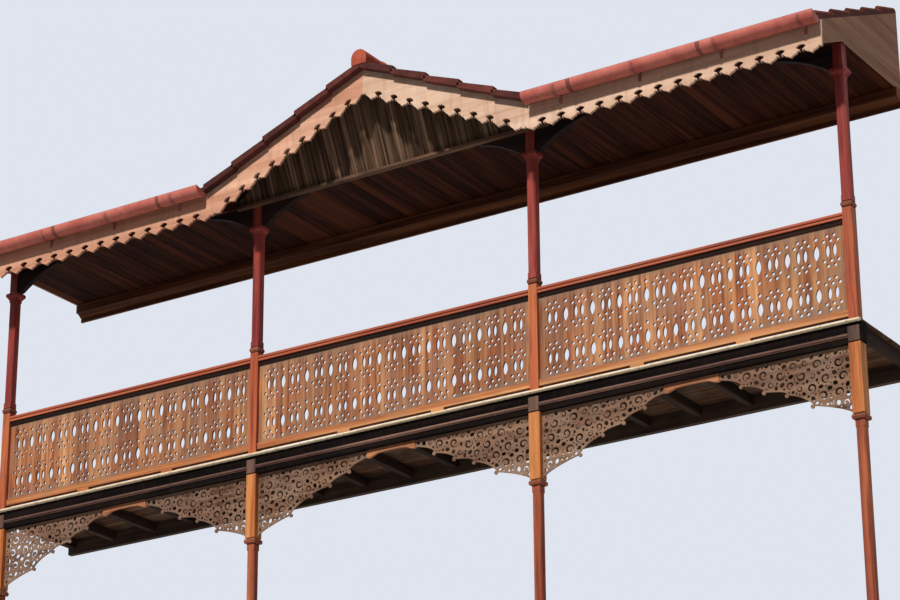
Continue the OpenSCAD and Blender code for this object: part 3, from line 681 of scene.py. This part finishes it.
# Tips of the lower edge, and how its curve leaves one tip and comes to the next, all as
# shares of the board's length and height.
fret_tips = [(0.0, 1.0), (0.294, 0.766), (0.481, 0.537), (0.652, 0.424), (0.824, 0.266), (0.985, 0.11)]
tip_leave = (0.02, 0.085)
tip_reach = (0.075, 0.03)
fret_end = 0.12
fret_rim = 0.009
fret_web = 0.0035
fret_t = 0.012
curl_r = 0.058
curl_share = 0.72
curl_room = 0.040
curl_turn = math.radians(430)
curl_steps = 18
leaf_r = 0.029
leaf_least = 0.010
leaf_turn = 0.7
knob_r = 0.019
knob_past = 0.012 * fret_len
knob_down = 0.002 * fret_len
knob_proud = 0.002
spot_step = 0.009


def sweep(a, b):
    """One sweep of the lower edge along a cubic curve, from a tip to just before the next."""
    near = (a[0] + tip_leave[0] * fret_len, a[1] + tip_leave[1] * fret_h)
    far = (b[0] - tip_reach[0] * fret_len, b[1] - tip_reach[1] * fret_h)
    path = []
    for t in (0, 0.14, 0.28, 0.42, 0.57, 0.71, 0.85):
        weights = ((1 - t) ** 3, 3 * t * (1 - t) ** 2, 3 * t * t * (1 - t), t**3)
        path.append(tuple(sum(w * p[k] for w, p in zip(weights, (a, near, far, b))) for k in (0, 1)))
    return path


def room(outline, x, z):
    """How far a point lies inside an outline, or -1 outside it."""
    nearest = 9.0
    inside = False
    for (ax, az), (bx, bz) in zip(outline, outline[1:] + outline[:1]):
        share = ((x - ax) * (bx - ax) + (z - az) * (bz - az)) / ((bx - ax) ** 2 + (bz - az) ** 2)
        share = min(1, max(0, share))
        nearest = min(nearest, math.hypot(x - ax - share * (bx - ax), z - az - share * (bz - az)))
        if (az > z) != (bz > z) and x < ax + (z - az) * (bx - ax) / (bz - az):
            inside = not inside
    return nearest if inside else -1


def curl(x, z, r, start, hand):
    """A cut that winds into a circle, pointed at both ends, and leaves a curled stem."""
    outer = []
    inner = []
    for k in range(curl_steps + 1):
        turn = start + hand * curl_turn * k / curl_steps
        middle = r * (0.80 - 0.030 * k)
        half = r * 0.185 * math.sin(math.pi * (0.5 + 0.92 * (k / curl_steps - 0.5)))
        outer.append((x + (middle + half) * math.cos(turn), z + (middle + half) * math.sin(turn)))
        inner.append((x + (middle - half) * math.cos(turn), z + (middle - half) * math.sin(turn)))
    return outer + inner[::-1]


def leaf(x, z, r, turn):
    """A leaf-shaped cut inside a circle."""
    c, s = math.cos(turn), math.sin(turn)
    return [(x + a * c - b * s, z + a * s + b * c) for a, b in lens(0, 0, 1.5 * r, 2.0 * r, 4)]


fret_points = [(x * fret_len, -z * fret_h) for x, z in fret_tips]
fret_edge = [point for a, b in zip(fret_points, fret_points[1:]) for point in sweep(a, b)]
fret_edge += [fret_points[-1], (fret_len, -fret_end * fret_h), (fret_len, 0), (0, 0)]
random.seed(3)
spots = []
for i in range(int(fret_len / spot_step)):
    for k in range(int(fret_h / spot_step)):
        x = (i + random.random()) * spot_step
        z = -(k + random.random()) * spot_step
        spots.append((room(fret_edge, x, z) - fret_rim, x, z))
fret_cuts = []
curls = []
while spots:
    free, x, z = max(spots)
    if free >= curl_room:
        r = min(curl_share * free, curl_r)
        curls.append((x, z, r))
        fret_cuts.append(curl(x, z, r, random.uniform(0, math.tau), 1 if len(curls) % 2 else -1))
    else:
        fitting = [spot for spot in spots if spot[0] >= leaf_r]
        free, x, z = min(fitting) if fitting else max(spots)
        r = min(free, leaf_r)
        near = min(curls, key=lambda c: math.hypot(x - c[0], z - c[1]) - c[2])
        fret_cuts.append(leaf(x, z, r, math.atan2(z - near[1], x - near[0]) - leaf_turn))
    left = [(min(free, math.hypot(x - a, z - b) - r - fret_web), a, b) for free, a, b in spots]
    spots = [spot for spot in left if spot[0] >= leaf_least]

# Weathered fretwork: teak that the sun has turned grey-brown, with rust-brown run marks.
grey_fretwork = wood(
    "weathered_fretwork", "X", "4c352b", "765746", "9a7a62",
    figure_mm=26,
    weather=("8d7565", 0.55),
    dirt=("8a583a", 0.3),
    rough=0.8,
    gloss=0.12,
)
for k in range(1, 7):
    low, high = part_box(f"spandrel_{k}")
    side = 1 if min(abs(low.x - x) for x in post_x) < min(abs(high.x - x) for x in post_x) else -1
    root = low.x if side == 1 else high.x
    middle = (low.y + high.y) / 2
    bm = bmesh.new()
    outline, *cuts = [[(root + side * x, high.z + z) for x, z in loop] for loop in [fret_edge] + fret_cuts]
    sawn_sheet(bm, outline, cuts, middle, fret_t)
    for x, z in fret_points[1:-1]:
        knob = Matrix.Translation((root + side * (x + knob_past), middle, high.z + z - knob_down))
        bmesh.ops.create_cone(
            bm,
            cap_ends=True,
            segments=14,
            radius1=knob_r,
            radius2=knob_r,
            depth=fret_t + knob_proud,
            matrix=knob @ Matrix.Rotation(math.pi / 2, 4, "X"),
        )
    finish_piece(bm, f"sawn_spandrel_{k}", grey_fretwork, "fret_wood", f"spandrel_{k}")
# Crown boards: plain teak boards, faded to tan.
crown_wood = wood("faded_crown_board", "X", "79462f", "a8653f", "c48659", weather=("8a6654", 0.4), rough=0.75)
dress(crown_wood, "crown_boards")


# Soffit. Narrow varnished boards run from the back to the eaves beam, with a hollow cove
# behind them, curved brackets on the posts and a sloping lining out to the eaves boards.
random.seed(23)
low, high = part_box("soffit")
soffit_board_w = 0.106
soffit_edge = 0.004
soffit_slip = 0.0015
soffit_step = 0.0005
count = round((high.x - low.x) / soffit_board_w)
width = (high.x - low.x) / count
bm = bmesh.new()
for k in range(count):
    start = (low.x + k * width, low.y, low.z + soffit_slip * random.random())
    end = (low.x + (k + 1) * width, high.y, high.z - soffit_step * (k % 2))
    board(bm, start, end, soffit_edge)
# Varnished soffit boards: very dark red-brown and dull, the varnish darkened further by painted shade of the
# roof over them, with a few newer boards much paler.
soffit_varnish_and_shade = wood(
    "soffit_board_varnish_and_shade", "Y", "1f0c08", "37180e", "4f2717",
    board="tone",
    tone=0.28,
    odd=("4b2615", 0.05),
    rough=0.8,
    gloss=0.05,
)
finish_piece(bm, "soffit_boarding", soffit_varnish_and_shade, "soffit_wood", "soffit")
# Varnished lining boards of the eaves: the same, a little browner, with the same painted shade.
lining_wood = wood(
    "lining_board_varnish_and_shade", "Y", "220d09", "3a190f", "552b1a",
    board=("X", low.x, width),
    tone=0.28,
    odd=("4b2615", 0.06),
    rough=0.8,
    gloss=0.05,
)
dress(lining_wood, "eave_soffits", "eave_cheeks")
# Varnished cove: warmer brown, out of the sun. Brackets: oiled, and nearly black as painted shade of the
# eaves over them.
cove_wood = wood("varnished_cove", "X", "3a1c12", "5c2f1b", "85502c", rough=0.65, gloss=0.15)
dress(cove_wood, "wall_cove")
bracket_wood = wood("painted_shade_bracket", "X", "140c0b", "211310", "351f17", rough=0.75, gloss=0.12)
dress(bracket_wood, "top_brackets")


# Gable. Narrow upright boards close the gable and lean out under the bargeboards, over a
# narrow ledge. The roof behind them rests on rafters, a ridge board and two valley rafters.
pitch = math.radians(25)
slope = math.tan(pitch)
gable_half = 1.920
fascia_low, fascia_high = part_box("fascia_right")
eaves_front = fascia_low.y
eaves_t = fascia_high.y - fascia_low.y
eaves_end = fascia_high.x
eaves_top = fascia_high.z
apex_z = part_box("bargeboard_right")[1].z
gable_low, gable_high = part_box("tympanum")
gable_foot_y = -1.2716
lean_foot = Vector((0, gable_foot_y, eaves_z))
lean = math.atan2(lean_foot.y - eaves_front - eaves_t, apex_z - eaves_z)
lean_place = Matrix.Translation(lean_foot) @ Matrix.Rotation(lean, 4, "X")
gable_board_w = 0.066
gable_board_t = 0.015
gable_slip = 0.0025
gable_joint = 0.001


def gable_z(x):
    """Height of the underside of the gable's tiles."""
    return apex_z - slope * abs(x)


random.seed(31)
bm = bmesh.new()
count = round((gable_high.x - gable_low.x) / gable_board_w)
width = (gable_high.x - gable_low.x) / count
for k in range(count):
    x0 = gable_low.x + k * width + gable_joint / 2
    x1 = x0 + width - gable_joint
    corners = [(x0, 0), (x1, 0)]
    corners += [(x, (gable_z(x) - eaves_z) / math.cos(lean)) for x in (x1, x0)]
    depth = gable_board_t / 2 + random.uniform(0, gable_slip)
    sawn_sheet(bm, corners, [], depth, gable_board_t, lean_place)
# Greyed gable boards: narrow, bare and uneven, from dark brown to dusty grey, all darker than the bare wood
# as partly painted shade of the deep gable. Ledge: the same greyed wood.
gable_grey_and_shade = wood(
    "gable_board_grey_and_shade", "Z", "2c1d18", "54402f", "8c6f5a",
    figure_mm=14,
    board="tone",
    tone=0.4,
    rough=0.85,
    gloss=0.06,
    flat="Y",
)
finish_piece(bm, "gable_boarding", gable_grey_and_shade, "soffit_wood", "tympanum")
ledge_wood = wood("gable_ledge", "X", "35221a", "523627", "74523b", weather=("8a6648", 0.3), rough=0.8)
dress(ledge_wood, "tympanum_ledge")
dress(sawn_joist, "rafters", "ridge_and_valleys")


# Eaves boards. Wide boards sawn into scallops along the lower edge, with a flat hole over
# each joint of two scallops and a slit down from it, nailed to the rafter ends and the gable.
scallop_w = 0.205
scallop_h = 0.060
scallop_edge = [(0.0, 0.8), (0.07, 0.62), (0.14, 1.0), (0.2, 0.62), (0.3, 0.42), (0.4, 0.3), (0.5, 0.0)]
hole_w = 0.102
hole_h = 0.048
hole_up = 0.084
slit_w = 0.032
slit_up = 0.052
mitre_in = 0.054
mitre_out = 0.012
mitre_low = gable_half - mitre_in
mitre_high = gable_half + mitre_out
eaves_board_h = 0.305
foot = eaves_top - eaves_board_h


def hole_with_slit(x, z, tilt):
    """The cut over a joint, from the left side of its slit round the hole and back down."""
    lower = arc(hole_h, hole_w, 12, 1)
    upper = arc(hole_h, hole_w, 8, -1)
    # The slit opens the middle of the hole's lower edge.
    ring = [(b, -a) for a, b in lower[:5][::-1] + upper[1:-1] + lower[8:][::-1]]
    c, s = math.cos(-tilt), math.sin(-tilt)
    cut = [(x + a * c - b * s, z + hole_up + a * s + b * c) for a, b in ring]
    return [(x - slit_w / 2, z + slit_up), *cut, (x + slit_w / 2, z + slit_up)]


def scallops(start, width, count, low, fall, tilt):
    """The lower edge of an eaves board, scallop by scallop, with its holes."""
    edge = []
    for k in range(count):
        x0 = start + k * width
        base = low - fall * x0
        if k:
            edge += hole_with_slit(x0, base, tilt)
        steps = scallop_edge + [(1 - t, s) for t, s in reversed(scallop_edge[:-1])]
        curve = [(x0 + t * width, low - fall * (x0 + t * width) + scallop_h * s) for t, s in steps]
        if k:
            curve[0] = (x0 + slit_w / 2, curve[0][1])
        if k < count - 1:
            curve[-1] = (curve[-1][0] - slit_w / 2, curve[-1][1])
        edge += curve
    return edge


# Sun-bleached eaves boards: peach on the right, pinker and browner on the left, with
# grey-brown rain marks.
bleached = {"figure_mm": 34, "dirt": ("8d6552", 0.3), "rough": 0.75}
peach_board = wood(
    "peach_eaves_board", "X", "c09a80", "dab499", "e9c8b0", weather=("c29d86", 0.5), **bleached
)
pink_board = wood(
    "pink_eaves_board", "X", "b57c60", "d39a7d", "e6b598", weather=("b98a74", 0.5), **bleached
)

count = round((eaves_end - mitre_low) / scallop_w)
fascia_outline = scallops(mitre_low, (eaves_end - mitre_low) / count, count, foot, 0, 0)
fascia_outline += [(eaves_end, eaves_top), (mitre_high, eaves_top)]
count = round(mitre_low / (scallop_w * math.cos(pitch)))
barge_foot = apex_z - eaves_board_h - slope * mitre_in
barge_outline = scallops(0, mitre_low / count, count, barge_foot, slope, pitch)
barge_outline += [(mitre_low, foot + scallop_h), (mitre_high, gable_z(mitre_high)), (0, apex_z)]
random.seed(37)
for name, side, outline, material in (
    ("fascia_left", -1, fascia_outline, pink_board),
    ("fascia_right", 1, fascia_outline, peach_board),
    ("bargeboard_left", -1, barge_outline, pink_board),
    ("bargeboard_right", 1, barge_outline, peach_board),
):
    bm = bmesh.new()
    sawn_sheet(bm, [(side * x, z) for x, z in outline], [], eaves_front + eaves_t / 2, eaves_t)
    finish_piece(bm, f"sawn_{name}", material, "eaves_wood", name)
# End boards: the same teak out of the sun, browner, with its grain along the board.
end_board_wood = wood(
    "weathered_end_board", "Y", "8a6450", "a57b64", "bd9278",
    figure_mm=30,
    weather=("94796a", 0.4),
    rough=0.8,
    gloss=0.12,
)
dress(end_board_wood, "end_boards")


# Tiles. Pressed clay roof tiles with a side roll and a middle rib, laid in five courses on
# each slope, nose over head, with thick verge tiles and a half-round ridge over the gable.
def clay(name, dark, mid, light, soot, share, single=False):
    """Fired clay: matt, mottled by the kiln, with soot and lichen in patches.

    The mottle is about 110 mm across, the grit 8 mm, coarser than real so that it shows, and the
    patches of soot 430 mm. single is set for single tiles, which have a tone each.
    """
    material, tree = new_material(name)
    place = add(tree, "TexCoord").outputs["Object"]
    mottled = {"Vector": place, "Scale": 9.0, "Detail": 5.0, "Roughness": 0.6}
    kiln = add(tree, "TexNoise", mottled).outputs["Fac"]
    grit = add(tree, "TexNoise", {"Vector": place, "Scale": 120.0, "Detail": 3.0}).outputs["Fac"]
    cloudy = {"Vector": place, "Scale": 2.3, "Detail": 6.0, "Roughness": 0.7}
    grime = add(tree, "TexNoise", cloudy).outputs["Fac"]
    colour = lay_over(tree, linear(dark), mid, kiln, 0.35, 0.68)
    colour = lay_over(tree, colour, light, grit, 0.56, 0.7, 0.6)
    if single:
        own = add(tree, "Attribute", attribute_name="tone").outputs["Fac"]
        colour = toned(tree, colour, own, 0.65, 1.3)
    colour = lay_over(tree, colour, soot, grime, 0.43, 0.66, share)
    rough = add(tree, "MapRange", {"Value": kiln, "To Min": 0.95, "To Max": 0.75}).outputs[0]
    finish_surface(tree, colour, rough, grit, 0.5, 0.002, 0.2)
    return material


# Old roof tiles: brick red under soot, each of its own tone. Verge tiles: darker. The beds
# under the tiles: dull red-brown. Ridge tiles: newer and brighter orange-red.
old_tile = clay("pressed_clay_tile", "5b2a22", "7c3b2d", "a9624b", "2d2120", 0.7, single=True)
verge_clay = clay("verge_clay_tile", "4a201c", "64302a", "84503f", "251918", 0.5, single=True)
tile_bed = clay("clay_tile_bed", "4d2620", "6a3429", "8d5341", "2b2020", 0.6)
ridge_clay = clay("ridge_clay", "a14632", "c05e45", "d98a70", "5a3a32", 0.4)
dress(tile_bed, "roof_left", "roof_right", "gable_roof_left", "gable_roof_right")
dress(ridge_clay, "ridge_tiles")

roof_low, roof_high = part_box("roof_right")
tile_front = roof_low.y
tile_thick = 0.060
tile_thin = 0.025
courses = 5
tile_w = 0.235
tile_lap = 0.030
tile_nose = 0.012
tile_up = 0.006
tile_slip = 0.002
roof_inset = 0.001
valley_gap = 0.012
verge_front = eaves_front - 0.078
verge_back = eaves_front - 0.001
verge_drop = 0.028
verge_ease = 0.006
verge_cover = 0.150
verge_nose_lap = 0.014
verge_nose_down = 0.004
verge_nose_up = 0.016
verge_head_lap = 0.016
verge_head_up = 0.014
verge_past = 0.004
# Section of a tile: steps across it, and up from its bed.
tile_section = [
    (0.000, 0.006),
    (0.010, 0.022),
    (0.028, 0.029),
    (0.046, 0.022),
    (0.056, 0.006),
    (0.106, 0.005),
    (0.120, 0.014),
    (0.134, 0.005),
    (0.227, 0.005),
    (0.231, 0.010),
    (0.231, -0.006),
    (0.000, -0.006),
]


def lay_tile(bm, course, bed, across, step):
    """Lays one pressed tile of a course on its bed. step leads up to the next course."""
    tone_layer(bm)
    uphill = step.normalized()
    nose = bed + Vector((0, 0, random.uniform(0, tile_slip))) - uphill * tile_nose
    length = step.length
    if course < courses - 1:
        length += tile_lap + tile_nose
    normal = across.cross(uphill)
    if normal.z < 0:
        normal = -normal
    section = [nose + across * u + normal * h for u, h in tile_section]
    face, verts = pull(bm, section, uphill * length)
    give_tone(bm, [face] + [around for vert in verts for around in vert.link_faces])


def trim_at_valley(bm, side, keep_roof):
    """Cuts the tiles along the upright plane of a valley and closes the cut."""
    line = gable_half + eaves_front + (valley_gap if keep_roof else -valley_gap)
    cut = bmesh.ops.bisect_plane(
        bm,
        geom=bm.verts[:] + bm.edges[:] + bm.faces[:],
        plane_co=(side * (line + 1), -1, 0),
        plane_no=(side, 1, 0),
        clear_inner=keep_roof,
        clear_outer=not keep_roof,
    )["geom_cut"]
    bmesh.ops.holes_fill(bm, edges=[item for item in cut if isinstance(item, bmesh.types.BMEdge)], sides=0)
    bmesh.ops.recalc_face_normals(bm, faces=bm.faces[:])


random.seed(41)
run = -tile_front / courses
rise = slope * run - tile_thick + tile_thin
step = Vector((0, run, rise))
roof_foot = eaves_top + slope * (tile_front - eaves_front)
for name, side in (("left", -1), ("right", 1)):
    bm = bmesh.new()
    for k in range(courses):
        y = tile_front + k * run
        z = roof_foot + slope * k * run + tile_thick + tile_up
        x = roof_high.x - roof_inset
        while x > gable_half - (y + run - eaves_front) - tile_w:
            lay_tile(bm, k, Vector((side * x, y, z)), Vector((-side, 0, 0)), step)
            x -= tile_w
    trim_at_valley(bm, side, True)
    finish_piece(bm, f"tiles_{name}", old_tile, "roof_tile")

gable_foot = gable_half - (tile_front - eaves_front)
run = gable_foot / courses
rise = slope * run - tile_thick + tile_thin
for name, side in (("left", -1), ("right", 1)):
    step = Vector((-side * run, 0, rise))
    bm = bmesh.new()
    for k in range(courses):
        x = gable_foot - k * run
        z = gable_z(x) + tile_thick + tile_up
        y = verge_front + verge_cover
        while y < gable_half - (x - run) + eaves_front + tile_w and y < -tile_w / 2:
            lay_tile(bm, k, Vector((side * x, y, z)), Vector((0, 1, 0)), step)
            y += tile_w
    trim_at_valley(bm, side, False)
    finish_piece(bm, f"gable_tiles_{name}", old_tile, "roof_tile")

    # Verge tiles: thick end tiles that stand out past the bargeboard, one for each course.
    bm = bmesh.new()
    tone_layer(bm)
    for k in range(courses):
        nose = min(gable_foot - k * run + verge_nose_lap, mitre_high + verge_past)
        head = max(gable_foot - (k + 1) * run - verge_head_lap, 0.0)
        corners = [
            (nose, gable_z(nose) - verge_nose_down),
            (nose, gable_z(nose) + tile_thick + verge_nose_up),
            (head, gable_z(head) + tile_thin + verge_head_up),
            (head, gable_z(head) - verge_drop),
        ]
        section = [(side * x, verge_front, z) for x, z in corners]
        face, verts = pull(bm, section, (0, verge_back - verge_front, 0))
        own = {face} | {f for v in verts for f in v.link_faces}
        give_tone(bm, own)
        ease(bm, {e for f in own for e in f.edges}, verge_ease, segments=2)
    bmesh.ops.recalc_face_normals(bm, faces=bm.faces[:])
    finish_piece(bm, f"verge_tiles_{name}", verge_clay, "roof_tile")

# Ridge end: the first half-round tile stands out as far as the verge tiles.
ridge_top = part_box("ridge_tiles")[1].z
ridge_r = 0.090
ridge_down = 0.011
ridge_foot = apex_z + 0.012
ridge_front = 0.004
ridge_past = 0.01
bm = bmesh.new()
turns = [math.pi * k / 12 for k in range(13)]
section = [(ridge_r * math.cos(t), ridge_top - ridge_r - ridge_down + ridge_r * math.sin(t)) for t in turns]
section += [(-ridge_r, ridge_foot), (ridge_r, ridge_foot)]
section = [(x, verge_front - ridge_front, z) for x, z in section]
pull(bm, section, (0, tile_front + ridge_past - verge_front, 0))
bmesh.ops.recalc_face_normals(bm, faces=bm.faces[:])
finish_piece(bm, "ridge_end", ridge_clay, "ridge_tile")


# Gutters. Half-round sheet metal gutters in red oxide paint that has faded to pink, with a
# rolled bead along the front rim, held by flat iron straps, with a sleeve over each joint.
def painted_metal(name, base, faded, rust, share):
    """Old oil paint on sheet metal: faded in patches, with rust coming through at runs.

    The patches are about 250 mm across, and the runs 30 mm wide and 200 mm long.
    """
    material, tree = new_material(name)
    place = add(tree, "TexCoord").outputs["Object"]
    cloudy = {"Vector": place, "Scale": 4.0, "Detail": 5.0, "Roughness": 0.6}
    cloud = add(tree, "TexNoise", cloudy).outputs["Fac"]
    colour = lay_over(tree, linear(base), faded, cloud, 0.38, 0.64)
    run_place = add(tree, "VectorMath", {0: place, 1: (30, 30, 5)}, operation="MULTIPLY").outputs[0]
    streaky = {"Vector": run_place, "Scale": 1.0, "Detail": 4.0, "Roughness": 0.7}
    run = add(tree, "TexNoise", streaky).outputs["Fac"]
    reach = {"Value": run, "From Min": 0.55, "From Max": 0.72, "To Max": share}
    run = add(tree, "MapRange", reach).outputs[0]
    colour = lay_over(tree, colour, rust, run, 0.0, 1.0)
    rough = add(tree, "MapRange", {"Value": run, "To Min": 0.5, "To Max": 0.85}).outputs[0]
    finish_surface(tree, colour, rough, run, 0.4, 0.001, 0.35)
    return material


# Gutter paint: red oxide faded to pink. Straps and the bead: older, browner and rusted.
gutter_paint = painted_metal("faded_oxide_paint", "b3584c", "cb7365", "6a3529", 0.5)
dress(gutter_paint, "gutters")
strap_paint = painted_metal("iron_strap_paint", "8a4a3f", "a86b5f", "512a20", 0.7)
dress(strap_paint, "gutter_brackets")
bead_paint = painted_metal("rusted_bead_paint", "6d332a", "8a4a3e", "3f211b", 0.7)

gutter_low, gutter_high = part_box("gutters")
gutter_r = 0.080
gutter_y = gutter_low.y + gutter_r
gutter_z = gutter_low.z + gutter_r
gutter_start = mitre_high + 0.010
# Sleeves stand at two shares of a gutter's length. Their section is drawn as radius and width.
sleeve_places = (0.17, 0.62)
sleeve_in = gutter_r + 0.0005
sleeve_out = gutter_r + 0.005
sleeve_section = [(sleeve_in, -0.022), (sleeve_out, -0.018), (sleeve_out, 0.018), (sleeve_in, 0.022)]
sleeve_from = math.radians(168)
sleeve_sweep = math.radians(170)
bead_r = 0.006
bead_in = 0.008
bead_down = 0.001
bead_short = 0.002
bm = bmesh.new()
beads = bmesh.new()
for side in (-1, 1):
    for share in sleeve_places:
        x = side * (gutter_start + share * (gutter_high.x - gutter_start))
        c, s = math.cos(sleeve_from), math.sin(sleeve_from)
        verts = [bm.verts.new((x + a, gutter_y + r * c, gutter_z + r * s)) for r, a in sleeve_section]
        bmesh.ops.spin(
            bm,
            geom=[bm.faces.new(verts)],
            cent=(0, gutter_y, gutter_z),
            axis=(1, 0, 0),
            angle=sleeve_sweep,
            steps=17,
            use_merge=False,
        )
    length = gutter_high.x - gutter_start - 2 * bead_short
    x = side * (gutter_start + length / 2 + bead_short)
    bead = Matrix.Translation((x, gutter_low.y + bead_in, gutter_high.z - bead_down))
    bmesh.ops.create_cone(
        beads,
        cap_ends=True,
        segments=8,
        radius1=bead_r,
        radius2=bead_r,
        depth=length,
        matrix=bead @ Matrix.Rotation(math.pi / 2, 4, "Y"),
    )
bmesh.ops.recalc_face_normals(bm, faces=bm.faces[:])
finish_piece(bm, "gutter_sleeves", bead_paint, "gutter_paint")
finish_piece(beads, "gutter_beads", bead_paint, "gutter_paint")
